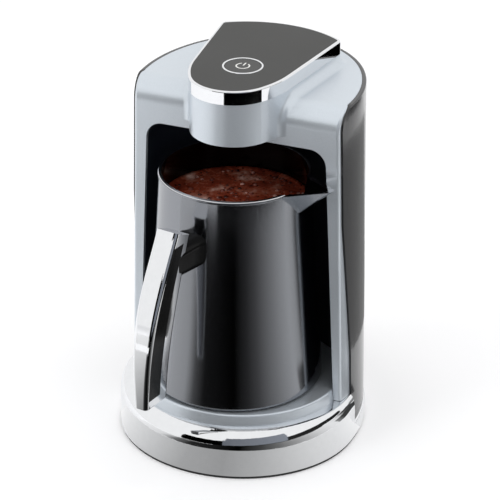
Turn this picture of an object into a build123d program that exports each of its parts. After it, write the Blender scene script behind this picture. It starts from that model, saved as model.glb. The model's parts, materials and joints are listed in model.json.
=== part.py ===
from build123d import *
from math import cos, hypot, pi, radians, sin, sqrt, tan
import os

# Electric Turkish coffee maker, free standing, with its coffee pot on the heating plate.
# Frame: millimetres, +Z up, +Y to the rear, +X to the right of someone facing the machine.
# The pieces are drawn with the pot's axis on Z, and main() then centres the footprint, so the
# origin ends up on the table under the middle of the machine.

# ---------------------------------------------------------------- driving dimensions
# pot; the machine's width and height leave named room round it
POT_R_FOOT = 47.6
POT_R_RIM = 40.5
POT_H = 121.3
POT_WALL = 1.4
POT_FLOOR = 3.0
POT_FOOT_ROUND = 1.8
POT_BEAD_R = 1.0
SPOUT_ANGLE = -10.0         # from +X, towards the front
SPOUT_OUT = 20.5            # tip beyond the rim
SPOUT_HALF_ANGLE = 30.0     # half angle of the wedge, seen from above
SPOUT_TIP_R = 3.4
SPOUT_DROP = 15.0           # height of the spout on the wall
SPOUT_RISE = 8.0            # upward slope of its edge, degrees
SPOUT_ROOT = 12.0           # how far its upper wedge reaches back inside the rim
SPOUT_ROOT_LOW = 5.0        # and its lower one inside the wall
SPOUT_CUT = 2.0             # how far the hollow runs past the rim

# handle, in the upright plane through the pot's axis; five sections from top to foot
HANDLE_ANGLE = 10.0         # from -Y, towards -X
HANDLE_OUT = (10.4, 20.4, 28.7, 32.7, 33.6)     # centre line beyond the pot's foot radius
HANDLE_DROP = (12.3, 34.8, 57.8, 80.8, 102.8)   # below the pot's rim
HANDLE_LEAN = (24.0, 22.5, 15.0, 5.0, 0.0)
HANDLE_W = (13.4, 13.2, 12.6, 10.5, 8.2)
HANDLE_D = (13.5, 17.0, 19.5, 20.0, 19.5)
HANDLE_CORNER = 2.2
HANDLE_FOOT_ROUND = 0.9
INLAY_DEPTH = 0.9
INLAY_SHARE = 0.52          # part of the handle's depth that the inlay covers
INLAY_SHIFT = 0.14          # and how far it sits towards the outer face
INLAY_END = 5.0
BOSS_DROP = 28.8            # boss below the pot's rim
BOSS_W = 19.0
BOSS_H = 18.0
BOSS_ROUND = 5.0
BOSS_TAPER = (0.66, 0.9)    # its width and height at the handle, as shares
BOSS_IN = 6.0               # its inner end inside the pot's radius, before the wall cuts it
STUD_R = 2.0
STUD_OUT = 18.4             # its outer end beyond the pot's foot radius

# heights
FOOT_H = 1.6                # rubber foot ring
SHELL_Z = 10.0              # lower edge of the rear shell, on the ring's low rear part
RING_TOP = 27.5             # top of the chrome ring in front
DECK_RISE = 6.3             # silver platform above the ring
PLATE_PROUD = 0.7           # heating plate above the platform
POT_HEADROOM = 19.2         # from the pot's rim to the ceiling over it
SNOUT_LIFT = 4.8            # lower edge of the projecting head above that ceiling
SNOUT_H = 18.2              # from there to the silver roof beside the head
HEAD_STEP = 5.5             # from the roof to the chrome band
BEZEL_H = 7.5               # chrome band

# room round the pot and what surrounds it
CAVITY_SIDE_FOOT = 9.9      # between the pot and the cavity's sides, at the platform
CAVITY_SIDE_TOP = 10.7      # and at the rim
CAVITY_REAR_FOOT = 9.8      # behind the pot, at the platform
CAVITY_REAR_TOP = 10.9      # and at the rim
CAVITY_Y = 5.4              # the cavity's rear is half an ellipse round this Y
CAVITY_ROUND = 9.5          # upper corners
LINER_WALL = 1.8
FRAME_SIDE_FOOT = 7.5       # silver frame beside the cavity, at the foot
FRAME_SIDE_ROOF = 9.6       # and at the roof

# tower, an elliptic column cut flat in front at Y = 0
TOWER_B = 72.6              # half depth at the roof
TOWER_Y = 18.4              # centre of the ellipse
TOWER_B_FOOT = 70.5         # the same at the foot
TOWER_Y_FOOT = 15.0
ROOF_ROUND = 12.0           # corner between the front and the roof
EDGE_ROUND = 1.6            # outer edge of the silver frame
RIM_ROUND = 0.8             # upper edge of the rear shell
SEAM_STEP = 1.0             # the rear shell stands this far outside the silver frame
SEAM_GAP = 0.2              # parting line
SEAM_TOP_Y = 2.4            # depth of the silver frame's side, high up
SEAM_FOOT_Y = 10.0          # and near the foot
SEAM_BEND_HIGH = 132.0
SEAM_BEND_LOW = 52.0
FRAME_WALL = 2.4
SHELL_WALL = 2.2

# base
RING_SIDE = 2.0             # the ring outside the tower's foot, at the sides
RING_REAR = 1.0             # and at the rear
RING_FRONT = 10.9           # and in front of the pot
RING_Y = 5.4                # centre of the front half ellipse
RING_REAR_Y = 10.0          # centre of the rear half ellipse
SHOULDER_H = 9.7            # height of the ring's rounded shoulder
SHOULDER_FRONT = 9.7        # how far it runs in, in front
SHOULDER_SIDE = 3.2         # and at the sides
SHOULDER_STEPS = 7
RING_WALL = 2.5
RING_LEDGE = 6.0            # width of the low rear part
RING_LEDGE_ROUND = 1.0
FOOT_INSET = 0.6
FOOT_W = 8.4
PAN_WALL = 2.4
PAN_RIM_H = 6.0
DECK_CLEAR = 0.2            # platform to the cavity's edge
DECK_FRONT_ROOM = 1.0       # platform's top in front of the pot
DECK_SKIRT = 0.9            # how much wider the platform is at its foot
DECK_WALL = 2.4
DECK_FLANGE = 2.4           # ledge at the platform's foot that the liner stands on
DECK_ROUND = 1.2
DECK_BOSS_ANGLES = (0.0, 43.0, 137.0, 180.0)

# heating
PLATE_INSET = 3.6           # heating plate inside the pot's foot
ELEMENT_INSET = 14.0        # ring heater's centre line inside the plate's edge
ELEMENT_W = 7.0
ELEMENT_H = 5.0
SHIELD_INSET = 3.0          # heat shield's wall inside the plate's edge
SHIELD_FLANGE = 1.6         # and its flange beyond it
SHIELD_T = 0.8
SHIELD_DEPTH = 13.4
SHIELD_PROBE_GAP = 2.0      # round the probe and its wire
SHIELD_PIN_GAP = 1.0        # round the heater pins
PIN_R = 1.5                 # heater pins
PIN_X = 4.0
PIN_DROP = 3.0              # below the shield
THERMOSTAT_R = 8.0
THERMOSTAT_H = 6.0
THERMOSTAT_Y = -14.0
THERMOSTAT_TAG = (0.8, 5.0, 4.0)
THERMOSTAT_TAG_X = 4.8
PROBE_R = 3.0
PROBE_H = 7.0
FUSE_R = 2.2
FUSE_L = 13.0
FUSE_Y = 15.0

# head, seen from above: tip arc, shoulder arcs, straight sides, rear arc
TIP_R = 23.5
TIP_Y = -1.0                # centre of the tip arc
TIP_ANGLE = 60.0            # half angle of the tip arc
SHOULDER_R = 57.0
SIDE_ANGLE = 7.2            # each side leans out this much towards the rear
SIDE_REAR_Y = 64.0
REAR_BULGE = 10.5           # how far the rear arc stands behind the side ends
HEAD_CORNER = 3.0
HEAD_WALL = 2.4
HEAD_FILLET = 5.0           # between the head and the roof
BEZEL_PROUD = 0.3
BEZEL_RIM = 1.1             # bright edge round the top panel
BEZEL_WALL = 3.2
BEZEL_ROUND = 0.8
PANEL_T = 1.6
CHASSIS_T = 2.5
COVER_LIFT = 1.0            # floor of the projecting head above its lower edge
COVER_T = 1.8
COVER_LIP = 1.2

# power button
BUTTON_Y = 10.8
BUTTON_R = 9.7
BUTTON_TRAVEL = 0.8
BUTTON_RING_W = 1.1
BUTTON_RING_PROUD = 0.3
BUTTON_FLANGE_T = 1.0
CAP_T = 2.0
CAP_ROUND = 0.4
STEM_R = 3.0
GUIDE_R = 5.6
GUIDE_H = 6.0
CLIP_R = 4.6
CLIP_T = 0.7
SPRING_R = 4.2
SPRING_WIRE_R = 0.25
SPRING_TURNS = 3.5
ICON_R = 3.9
ICON_LINE = 0.8
ICON_T = 0.25
ICON_NOTCH = 3.5            # opening of the ring
ICON_BAR_UP = 2.4           # the bar's middle behind the ring's centre
SWITCH_SIZE = 6.2
SWITCH_H = 3.6
PLUNGER_R = 1.75
PLUNGER_PROUD = 1.4
PLUNGER_DEPTH = 1.2

# electrics
BOARD_T = 1.6
BOARD_CLEAR = 1.0           # control board to the head's wall
CONTROL_DROP = 11.0         # control board's upper face below the chassis
CONTROL_W = 40.0
CONTROL_FRONT = -12.0
CONTROL_REAR = 46.0
CONTROL_POST_X = 15.0
CONTROL_POST_IN = (10.0, 6.0)   # posts behind the board's front and before its rear
CHIP = (9.0, 9.0, 1.6)
CHIP_AT = (-9.0, 24.0)
POWER_W = 52.0
POWER_D = 18.0
POWER_ROOM = 9.3            # between the power board and the rear shell
POWER_STAND = 8.0
PARTS_GAP = 2.5             # between parts on a board
RELAY = (19.0, 10.0, 15.0)
RELAY_X = -4.0
TERMINAL = (16.0, 8.0, 9.0)
TERMINAL_HOLE_X = 4.8
TERMINAL_HOLE_DEPTH = 3.6
CAPACITOR_R = 5.0
CAPACITOR_H = 12.0
BUZZER_R = 5.0
BUZZER_H = 4.5
BUZZER_AT = (8.0, 33.0)
SENSOR = (12.0, 9.0)
WINDOW_R = 5.5
WINDOW_Y = -9.0
WINDOW_RIM = 1.4
WINDOW_RIM_T = 1.0
GROMMET_Z = 24.0
GROMMET_BORE_R = 3.4
GROMMET_R = 5.6
GROMMET_FLANGE_R = 8.0
GROMMET_L = 9.0
GROMMET_FLANGE_T = 1.8
WIRE_R = 0.9
WIRE_BEND = 2.5
WIRE_STEP = 8.0             # run of a wire between its bends
WIRE_LIFT = 4.0             # wires above the floor
CABLE_R = 1.6
CABLE_BEND = 2.6
CABLE_X = 15.0
CABLE_IN = 4.0              # cable before the power board's middle
CABLE_TURN = 7.0            # its level run below the control board
CABLE_END = 16.0            # its end before that board's rear

# fasteners
SCREW_R = 1.5
SCREW_HEAD_R = 2.8
SCREW_HEAD_H = 1.5
SCREW_HEAD_ROUND = 0.9
SCREW_SLOT = (2.8, 0.5, 1.2)
SCREW_BOSS_R = 3.6
BASE_SCREW_L = 10.0
BOARD_SCREW_L = 6.0

# clearances
GAP = 0.15                  # between fixed pieces that are pushed together
RUN = 0.06                  # radial, between sliding fits
TOUCH = 0.05                # between parts that meet at rest
BOSS_CLEAR = 2.2            # between the heat shield's flange and the platform's bosses
MERGE = 0.5                 # how far a boss or post reaches into what carries it
CUT = 1.0                   # how far a cutting form passes the face it opens

# ---------------------------------------------------------------- derived
DECK_TOP = RING_TOP + DECK_RISE
PLATE_TOP = DECK_TOP + PLATE_PROUD
POT_RIM_Z = PLATE_TOP + POT_H
CAVITY_TOP = POT_RIM_Z + POT_HEADROOM
SNOUT_Z = CAVITY_TOP + SNOUT_LIFT
ROOF_Z = SNOUT_Z + SNOUT_H
BEZEL_Z = ROOF_Z + HEAD_STEP
TOP_Z = BEZEL_Z + BEZEL_H
DECK_UNDER = DECK_TOP - DECK_WALL
PAN_TOP = FOOT_H + PAN_WALL
PANEL_SEAT = TOP_Z - PANEL_T
CHASSIS_Z = BEZEL_Z - CHASSIS_T
CONTROL_Z = CHASSIS_Z - CONTROL_DROP
SWITCH_TOP = CONTROL_Z + SWITCH_H
PLUNGER_TOP = SWITCH_TOP + PLUNGER_PROUD
CAP_TOP = TOP_Z + TOUCH
COVER_Z = SNOUT_Z + COVER_LIFT

CAVITY_A_FOOT = POT_R_FOOT + CAVITY_SIDE_FOOT
CAVITY_A_TOP = POT_R_RIM + CAVITY_SIDE_TOP
CAVITY_B_FOOT = POT_R_FOOT + CAVITY_REAR_FOOT - CAVITY_Y
CAVITY_B_TOP = POT_R_RIM + CAVITY_REAR_TOP - CAVITY_Y
TOWER_A_FOOT = CAVITY_A_FOOT + FRAME_SIDE_FOOT
TOWER_A = CAVITY_A_TOP + FRAME_SIDE_ROOF
RING_A = TOWER_A_FOOT + RING_SIDE
RING_B = RING_Y + POT_R_FOOT + RING_FRONT
RING_B_REAR = TOWER_Y_FOOT + TOWER_B_FOOT + RING_REAR - RING_REAR_Y
DECK_FRONT = POT_R_FOOT + DECK_FRONT_ROOM

PLATE_R = POT_R_FOOT - PLATE_INSET
ELEMENT_R = PLATE_R - ELEMENT_INSET
SHIELD_R = PLATE_R - SHIELD_INSET
SHIELD_FLANGE_R = PLATE_R + SHIELD_FLANGE
SHIELD_Z = DECK_UNDER - SHIELD_DEPTH
DECK_BOSS_R = SHIELD_FLANGE_R + BOSS_CLEAR + SCREW_BOSS_R

BOSS_Z = POT_RIM_Z - BOSS_DROP
STUD_END = POT_R_FOOT + STUD_OUT
POWER_Y = TOWER_Y_FOOT + TOWER_B_FOOT - SHELL_WALL - POWER_ROOM - POWER_D / 2
POWER_Z = PAN_TOP + POWER_STAND
POWER_TOP = POWER_Z + BOARD_T


# ---------------------------------------------------------------- shared shapes
def half_ellipse(a, b, y, side):
    """Half of an ellipse round (0, y): side +1 is the half towards the rear."""
    keep = Pos(0, y + side * b) * Rectangle(2 * a + 2, 2 * b)
    return Pos(0, y) * Ellipse(a, b) & keep


def tower_ellipse(z):
    """Centre Y and half axes of the tower's outline at height z."""
    share = (ROOF_Z - z) / (ROOF_Z - SHELL_Z)
    y = TOWER_Y + (TOWER_Y_FOOT - TOWER_Y) * share
    a = TOWER_A + (TOWER_A_FOOT - TOWER_A) * share
    b = TOWER_B + (TOWER_B_FOOT - TOWER_B) * share
    return y, a, b


def tower(offset, z0, z1):
    """The tower's elliptic column from z0 to z1, grown by offset."""
    def level(z):
        y, a, b = tower_ellipse(z)
        return Pos(0, y, z) * Ellipse(a + offset, b + offset)

    return loft([level(z0), level(z1)])


def side_profile(points, corner, radius):
    """A (y, z) outline pushed out along X over the whole width; one corner is rounded."""
    outline = make_face(Plane.YZ * Polyline(points, close=True))
    rounded = [v for v in outline.vertices() if hypot(v.Y - corner[0], v.Z - corner[1]) < 0.01]
    if rounded:
        outline = fillet(rounded, radius)
    return extrude(outline, 2 * RING_A, both=True)


def far_side():
    """A Y value behind everything."""
    return TOWER_Y + TOWER_B * 1.5


def base_plan(inset):
    """Outline of the base: an ellipse in front, straight sides, an ellipse at the rear."""
    a = RING_A - inset
    plan = half_ellipse(a, RING_B - inset, RING_Y, -1)
    plan += half_ellipse(a, RING_B_REAR - inset, RING_REAR_Y, 1)
    middle = RING_REAR_Y - RING_Y
    plan += Pos(0, RING_Y + middle / 2) * Rectangle(2 * a, middle)
    return plan


def cavity(grow, z0, front):
    """The room for the pot, open in front of the tower, grown by grow."""
    def level(a, b, z):
        plan = half_ellipse(a + grow, b + grow, CAVITY_Y, 1)
        depth = CAVITY_Y - front
        plan += Pos(0, CAVITY_Y - depth / 2) * Rectangle(2 * (a + grow), depth)
        return Pos(0, 0, z) * plan

    top = CAVITY_TOP + grow
    share = (z0 - DECK_TOP) / (CAVITY_TOP - DECK_TOP)
    a0 = CAVITY_A_FOOT + (CAVITY_A_TOP - CAVITY_A_FOOT) * share
    b0 = CAVITY_B_FOOT + (CAVITY_B_TOP - CAVITY_B_FOOT) * share
    room = loft([level(a0, b0, z0), level(CAVITY_A_TOP, CAVITY_B_TOP, top)])
    rim = [e for e in room.edges().group_by(Axis.Z)[-1] if e.center().Y > front + 1]
    return fillet(rim, CAVITY_ROUND + grow)


def head_plan(inset):
    """Outline of the head: drawn on the right, mirrored, closed by the rear arc."""
    start = radians(TIP_ANGLE)
    end = radians(90 - SIDE_ANGLE)
    tip = TIP_R - inset
    shoulder = SHOULDER_R - inset
    x1 = tip * sin(start)
    y1 = TIP_Y - tip * cos(start)
    cx = x1 - shoulder * sin(start)
    cy = y1 + shoulder * cos(start)
    x2 = cx + shoulder * sin(end)
    y2 = cy - shoulder * cos(end)
    lean = tan(radians(SIDE_ANGLE))
    y3 = SIDE_REAR_Y - inset
    x3 = x2 + (y3 - y2) * lean
    mid = (start + end) / 2
    xm = cx + shoulder * sin(mid)
    ym = cy - shoulder * cos(mid)
    rear = y3 + REAR_BULGE
    lines = ThreePointArc((-x1, y1), (0, TIP_Y - tip), (x1, y1))
    lines += ThreePointArc((x1, y1), (xm, ym), (x2, y2))
    lines += Line((x2, y2), (x3, y3))
    lines += ThreePointArc((x3, y3), (0, rear), (-x3, y3))
    lines += Line((-x3, y3), (-x2, y2))
    lines += ThreePointArc((-x2, y2), (-xm, ym), (-x1, y1))
    plan = make_face(lines)
    corners = [v for v in plan.vertices() if abs(v.Y - y3) < 0.01]
    return fillet(corners, HEAD_CORNER - min(inset, HEAD_CORNER - 0.5))


def head_prism(inset, z0, z1):
    return Pos(0, 0, z0) * extrude(head_plan(inset), z1 - z0)


def seam_outline(gap, top):
    """(y, z) outline of all that lies behind the silver frame's seam."""
    foot = SHELL_Z - 1
    return [
        (SEAM_TOP_Y + gap, top),
        (SEAM_TOP_Y + gap, SEAM_BEND_HIGH),
        (SEAM_FOOT_Y + gap, SEAM_BEND_LOW),
        (SEAM_FOOT_Y + gap, foot),
        (far_side(), foot),
        (far_side(), top),
    ]


def screw(length):
    """Pan-head screw along -Z, with its head above the origin."""
    head = extrude(Circle(SCREW_HEAD_R), SCREW_HEAD_H)
    head = fillet(head.edges().sort_by(Axis.Z)[-1], SCREW_HEAD_ROUND)
    slot = Pos(0, 0, SCREW_HEAD_H) * Box(*SCREW_SLOT)
    slot += Rot(0, 0, 90) * slot
    shank = Pos(0, 0, -length) * extrude(Circle(SCREW_R), length)
    return head - slot + shank


def wire(points, radius, bend):
    """Round wire along straight runs joined by tangent arcs."""
    path = FilletPolyline(*points, radius=bend)
    section = Plane(origin=path @ 0, z_dir=path % 0) * Circle(radius)
    return sweep(section, path=path)


def cylinder(radius, x, y, z0, z1):
    """Upright cylinder from z0 to z1."""
    return Pos(x, y, z0) * extrude(Circle(radius), z1 - z0)


def block(size, x, y, z0):
    """Box standing on z0, centred on (x, y)."""
    return Pos(x, y, z0 + size[2] / 2) * Box(*size)


def ring_of(outer, inner, x, y, z0, z1):
    """Upright ring from z0 to z1."""
    return cylinder(outer, x, y, z0, z1) - cylinder(inner, x, y, z0 - CUT, z1 + CUT)


# ---------------------------------------------------------------- base
def base_screw_places():
    """Where the deck's bosses stand: beside the plate and behind it."""
    turns = [radians(angle) for angle in DECK_BOSS_ANGLES]
    return [(DECK_BOSS_R * cos(turn), DECK_BOSS_R * sin(turn)) for turn in turns]


def foot_ring():
    """Rubber ring that the whole machine stands on."""
    return extrude(base_plan(FOOT_INSET) - base_plan(FOOT_INSET + FOOT_W), FOOT_H)


def base_pan():
    """Black floor of the machine, with a rim and four pillars for the power board."""
    inset = RING_LEDGE + GAP
    pan = Pos(0, 0, FOOT_H) * extrude(base_plan(inset), PAN_WALL + PAN_RIM_H)
    pan -= Pos(0, 0, PAN_TOP) * extrude(base_plan(inset + PAN_WALL), PAN_RIM_H + CUT)
    for x, y in board_pillars():
        pan += cylinder(SCREW_BOSS_R, x, y, PAN_TOP - MERGE, POWER_Z)
        pan -= cylinder(SCREW_R, x, y, PAN_TOP, POWER_Z + CUT)
    for x, y in base_screw_places():
        pan -= cylinder(SCREW_R + GAP, x, y, 0, PAN_TOP + CUT)
        pan -= cylinder(SCREW_HEAD_R + GAP, x, y, 0, FOOT_H + SCREW_HEAD_H)
    return pan


def shoulder_plan(inset_side, inset_front):
    """The base's outline from the front to the seam, with its own inset at sides and front."""
    a = RING_A - inset_side
    depth = SEAM_FOOT_Y - SEAM_GAP - RING_Y
    plan = half_ellipse(a, RING_B - inset_front, RING_Y, -1)
    return plan + Pos(0, RING_Y + depth / 2) * Rectangle(2 * a, depth)


def ring_front(inset):
    """Tall front part of the ring: upright wall, then a shoulder that is broadest in front."""
    low = RING_TOP - SHOULDER_H
    wall = Pos(0, 0, FOOT_H) * extrude(shoulder_plan(inset, inset), low - FOOT_H)
    rounds = []
    for step in range(SHOULDER_STEPS):
        turn = pi / 2 * step / (SHOULDER_STEPS - 1)
        side = inset + (SHOULDER_SIDE - inset * SHOULDER_SIDE / SHOULDER_FRONT) * (1 - cos(turn))
        front = inset + (SHOULDER_FRONT - inset) * (1 - cos(turn))
        rounds.append(Pos(0, 0, low + (SHOULDER_H - inset) * sin(turn)) * shoulder_plan(side, front))
    return wall + loft(rounds)


def base_ring():
    """Chrome ring: tall and round-shouldered in front, a low ledge round the rear shell."""
    low = Pos(0, 0, FOOT_H) * extrude(base_plan(0), SHELL_Z - FOOT_H)
    low = fillet(low.edges().group_by(Axis.Z)[-1], RING_LEDGE_ROUND)
    low -= extrude(base_plan(RING_LEDGE), SHELL_Z + CUT)
    depth = 2 * RING_B
    low &= Pos(0, SEAM_FOOT_Y - SEAM_GAP - RING_WALL + depth, 0) * Box(2 * RING_A + CUT, 2 * depth, RING_TOP)
    back = Pos(0, -RING_WALL, 0) * Box(2 * RING_A, 2 * (SEAM_FOOT_Y - SEAM_GAP), 2 * RING_TOP)
    front_room = Pos(0, -RING_B, 0) * Box(2 * RING_A, 2 * RING_B, 2 * RING_TOP)
    hollow = ring_front(RING_WALL) & (back + front_room)
    opening = deck_plan(-DECK_WALL, DECK_SKIRT, 2 * RING_TOP)
    return ring_front(0) - hollow - extrude(base_plan(RING_LEDGE), SHELL_Z) + low - opening


def deck_plan(grow, skirt, height):
    """Prism of the platform's outline; skirt widens only its front half."""
    a = CAVITY_A_FOOT - DECK_CLEAR + grow
    front = half_ellipse(a + skirt, DECK_FRONT + CAVITY_Y + grow + skirt, CAVITY_Y, -1)
    rear = half_ellipse(a, CAVITY_B_FOOT - DECK_CLEAR + grow, CAVITY_Y, 1)
    return extrude(front + rear, height)


def deck_form(grow, z0, z1):
    """Outer form of the platform: sloping skirt in front, upright at the rear."""
    a = CAVITY_A_FOOT - DECK_CLEAR + grow
    b = DECK_FRONT + CAVITY_Y + grow

    def front(z):
        skirt = DECK_SKIRT * (DECK_TOP - z) / (DECK_TOP - RING_TOP)
        return Pos(0, 0, z) * half_ellipse(a + skirt, b + skirt, CAVITY_Y, -1)

    rear = half_ellipse(a, CAVITY_B_FOOT - DECK_CLEAR + grow, CAVITY_Y, 1)
    return loft([front(z0), front(z1)]) + Pos(0, 0, z0) * extrude(rear, z1 - z0)


def deck_plate():
    """Silver platform round the heating plate, with screw bosses underneath."""
    deck = deck_form(0, RING_TOP, DECK_TOP)
    rim = [e for e in deck.edges().group_by(Axis.Z)[-1] if e.center().Y < CAVITY_Y - 1]
    deck = fillet(rim, DECK_ROUND)
    liner = CAVITY_A_FOOT + LINER_WALL
    flange = half_ellipse(liner, CAVITY_B_FOOT + LINER_WALL, CAVITY_Y, 1)
    deck += Pos(0, 0, RING_TOP) * extrude(flange, DECK_FLANGE)
    deck -= deck_form(-DECK_WALL, RING_TOP - CUT, DECK_UNDER)
    for x, y in base_screw_places():
        deck += cylinder(SCREW_BOSS_R, x, y, PAN_TOP, DECK_UNDER + MERGE)
        deck -= cylinder(SCREW_R, x, y, PAN_TOP - CUT, PAN_TOP + BASE_SCREW_L)
    return deck - cylinder(PLATE_R + GAP, 0, 0, 0, DECK_TOP + CUT)


# ---------------------------------------------------------------- tower
def front_frame():
    """Silver front, roof and sides of the head, as one moulding."""
    foot = RING_TOP + SEAM_GAP
    widest = head_plan(0).bounding_box().size.X + CUT
    outer = [(0, 0), (0, ROOF_Z), (far_side(), ROOF_Z), (far_side(), 0)]
    body = tower(-SEAM_STEP, foot, ROOF_Z) & side_profile(outer, (0, ROOF_Z), ROOF_ROUND)
    sharp = [e for e in body.edges() if e.geom_type != GeomType.LINE and e.center().Z > foot + CUT]
    body = fillet(sharp, EDGE_ROUND)

    body += head_prism(0, SNOUT_Z, BEZEL_Z)
    joint = []
    for edge in body.edges():
        box = edge.bounding_box()
        in_head = box.size.X < widest and box.max.Z < ROOF_Z + HEAD_STEP / 2
        if in_head and edge.center().Z > SNOUT_Z + MERGE:
            joint.append(edge)
    body = fillet(joint, min(HEAD_FILLET, 0.92 * HEAD_STEP))

    wall = FRAME_WALL
    inner = [(wall, 0), (wall, ROOF_Z - wall), (far_side(), ROOF_Z - wall), (far_side(), 0)]
    room = tower(-SEAM_STEP - wall, foot - CUT, ROOF_Z)
    room &= side_profile(inner, (wall, ROOF_Z - wall), ROOF_ROUND - wall)
    body -= room
    behind = seam_outline(0, ROOF_Z - wall)
    body -= side_profile(behind, (SEAM_TOP_Y, ROOF_Z - wall), ROOF_ROUND - wall)
    above = ROOF_Z + SEAM_GAP
    rim = tower(SHELL_WALL, foot, above) - tower(-SHELL_WALL - SEAM_GAP, foot - CUT, above + CUT)
    body -= rim & side_profile(seam_outline(0, above), (SEAM_TOP_Y, above), ROOF_ROUND)
    body -= head_prism(HEAD_WALL, COVER_Z, BEZEL_Z + CUT)
    lip = head_prism(HEAD_WALL + COVER_LIP, SNOUT_Z - CUT, COVER_Z + CUT)
    body -= lip & Pos(0, -RING_B, 0) * Box(2 * RING_A, 2 * RING_B, 3 * TOP_Z)
    body -= cavity(0, foot - CUT, -RING_B)
    body -= deck_form(SEAM_GAP, foot - CUT, DECK_TOP + SEAM_GAP)
    return body


def rear_shell():
    """Black shell round the sides and the rear."""
    shell = tower(0, SHELL_Z, ROOF_Z)
    shell = fillet(shell.edges().group_by(Axis.Z)[-1], RIM_ROUND)
    shell -= tower(-SHELL_WALL, SHELL_Z - CUT, ROOF_Z + CUT)
    outline = seam_outline(SEAM_GAP, ROOF_Z)
    shell &= side_profile(outline, (SEAM_TOP_Y + SEAM_GAP, ROOF_Z), ROOF_ROUND)
    rear = Plane(origin=(0, far_side(), GROMMET_Z), z_dir=(0, -1, 0))
    return shell - extrude(rear * Circle(GROMMET_R + GAP), TOWER_B)


def cavity_liner():
    """Black wall and ceiling behind and over the pot."""
    foot = RING_TOP + DECK_FLANGE
    front = FRAME_WALL + GAP
    liner = cavity(LINER_WALL, foot, front) - cavity(0, foot - CUT, front - CUT)
    return liner - deck_form(SEAM_GAP, foot - CUT, DECK_TOP)


def cord_grommet():
    """Flanged bush in the rear shell for the mains cord."""
    y, _, b = tower_ellipse(GROMMET_Z)
    outside = Plane(origin=(0, y + b + GROMMET_FLANGE_T, GROMMET_Z), z_dir=(0, -1, 0))
    bush = extrude(outside * Circle(GROMMET_FLANGE_R), 2 * GROMMET_FLANGE_T)
    bush = fillet(bush.edges().sort_by(Axis.Y)[-1], GROMMET_FLANGE_T * 0.6)
    bush -= tower(TOUCH, SHELL_Z, ROOF_Z)
    bush += extrude(outside * Circle(GROMMET_R), GROMMET_FLANGE_T + GROMMET_L)
    return bush - extrude(outside * Circle(GROMMET_BORE_R), 2 * GROMMET_FLANGE_T + GROMMET_L)


# ---------------------------------------------------------------- heating
def heating_plate():
    """Dark disc that the pot stands on."""
    plate = cylinder(PLATE_R, 0, 0, DECK_UNDER, PLATE_TOP)
    return fillet(plate.edges().group_by(Axis.Z)[-1], PLATE_PROUD * 0.6)


def pin_places():
    """Heater pins, side by side at the rear of the ring heater."""
    y = sqrt(ELEMENT_R**2 - PIN_X**2)
    return [(side * (PIN_X + PIN_R), y) for side in (-1, 1)]


def heating_element():
    """Ring heater under the plate, open at the rear, with two pins."""
    gap = 2 * PIN_X / ELEMENT_R
    section = Plane.XZ * Pos(ELEMENT_R, DECK_UNDER - ELEMENT_H / 2) * Rectangle(ELEMENT_W, ELEMENT_H)
    arc = 360 - gap * 180 / pi
    heater = Rot(0, 0, 90 + gap * 90 / pi) * revolve(section, Axis.Z, arc)
    for x, y in pin_places():
        heater += cylinder(PIN_R, x, y, SHIELD_Z - PIN_DROP, DECK_UNDER - ELEMENT_H + MERGE)
    return heater


def heat_shield():
    """Thin metal dish under the heater; its flange also carries the plate's rim."""
    dish = cylinder(SHIELD_R + SHIELD_T, 0, 0, SHIELD_Z, DECK_UNDER)
    dish -= cylinder(SHIELD_R, 0, 0, SHIELD_Z + SHIELD_T, DECK_UNDER + CUT)
    dish += ring_of(SHIELD_FLANGE_R, SHIELD_R, 0, 0, DECK_UNDER - SHIELD_T, DECK_UNDER)
    floor_top = SHIELD_Z + SHIELD_T + CUT
    dish -= cylinder(PROBE_R + SHIELD_PROBE_GAP, 0, 0, 0, floor_top)
    for x, y in pin_places():
        dish -= cylinder(PIN_R + SHIELD_PIN_GAP, x, y, 0, floor_top)
    return dish


def thermostat():
    """Overheat cut-out under the plate."""
    z0 = DECK_UNDER - THERMOSTAT_H
    body = cylinder(THERMOSTAT_R, 0, THERMOSTAT_Y, z0, DECK_UNDER)
    for side in (-1, 1):
        body += block(THERMOSTAT_TAG, side * THERMOSTAT_TAG_X, THERMOSTAT_Y, z0 - THERMOSTAT_TAG[2])
    return body


def thermal_fuse():
    """One-shot fuse lying against the plate."""
    across = Plane(origin=(-FUSE_L / 2, FUSE_Y, DECK_UNDER - FUSE_R), z_dir=(1, 0, 0))
    return extrude(across * Circle(FUSE_R), FUSE_L)


def temperature_probe():
    """Sensor in the middle of the plate."""
    return cylinder(PROBE_R, 0, 0, DECK_UNDER - PROBE_H, DECK_UNDER)


# ---------------------------------------------------------------- head
def head_bezel():
    """Chrome band round the head, with a seat for the top panel."""
    band = head_prism(-BEZEL_PROUD, BEZEL_Z, TOP_Z)
    band = fillet(band.edges().group_by(Axis.Z)[-1], BEZEL_ROUND)
    band -= head_prism(BEZEL_RIM, PANEL_SEAT, TOP_Z + CUT)
    return band - head_prism(BEZEL_WALL, BEZEL_Z - CUT, TOP_Z)


def top_panel():
    """Dark grey plate with the button's hole."""
    panel = head_prism(BEZEL_RIM + TOUCH, PANEL_SEAT, TOP_Z)
    return panel - cylinder(button_ring_r() + TOUCH, 0, BUTTON_Y, 0, TOP_Z + CUT)


def button_ring_r():
    return BUTTON_R + GAP + BUTTON_RING_W


def button_ring():
    """Chrome ring round the button, held under the panel by a flange."""
    inner = BUTTON_R + GAP
    ring = ring_of(button_ring_r(), inner, 0, BUTTON_Y, PANEL_SEAT, TOP_Z + BUTTON_RING_PROUD)
    ring = fillet(ring.edges().group_by(Axis.Z)[-1], BUTTON_RING_PROUD)
    low = PANEL_SEAT - BUTTON_FLANGE_T
    return ring + ring_of(button_ring_r() + BUTTON_RING_W, inner, 0, BUTTON_Y, low, PANEL_SEAT)


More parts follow.
